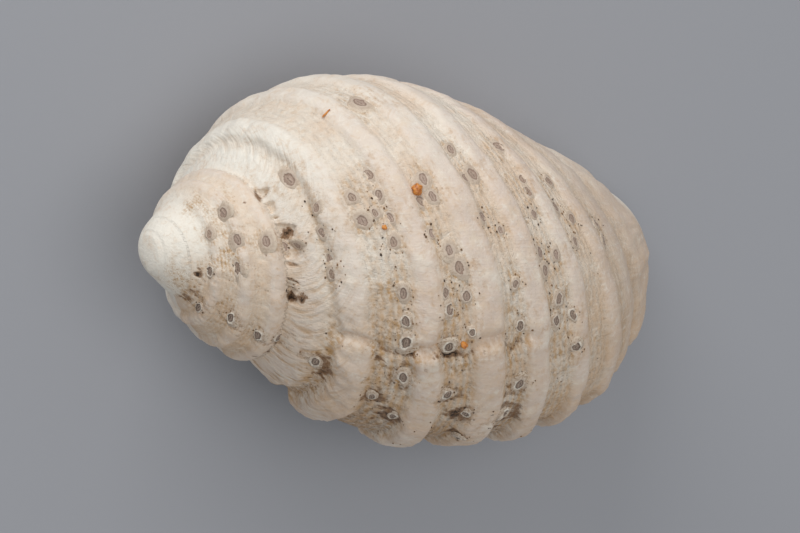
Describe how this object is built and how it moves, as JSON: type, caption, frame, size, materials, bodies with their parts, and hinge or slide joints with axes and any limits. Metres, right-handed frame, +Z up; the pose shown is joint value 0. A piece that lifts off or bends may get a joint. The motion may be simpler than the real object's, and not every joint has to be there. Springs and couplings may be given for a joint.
{
  "type": "rock shell",
  "caption": "Empty sea snail shell of a rocky shore, with a low spire, strong spiral cords, a short canal and young barnacles grown in its furrows.",
  "frame": {"origin": "middle of the bounding box in plan, on the surface the shell lies on", "axes": "+X from the apex towards the canal (right in the picture), +Y towards the top of the picture, +Z up from the surface"},
  "size_m": [0.0376, 0.0254, 0.0196],
  "materials": {
    "shell": "chalky, worn shell, off-white with lilac-grey cord tops and brown stains in the furrows",
    "barnacle": "grey, slightly translucent barnacle plates with pale rims",
    "grit": "dry brown dirt and specks"
  },
  "bodies": {
    "root": {"shell": "shell"}
  },
  "joints": []
}
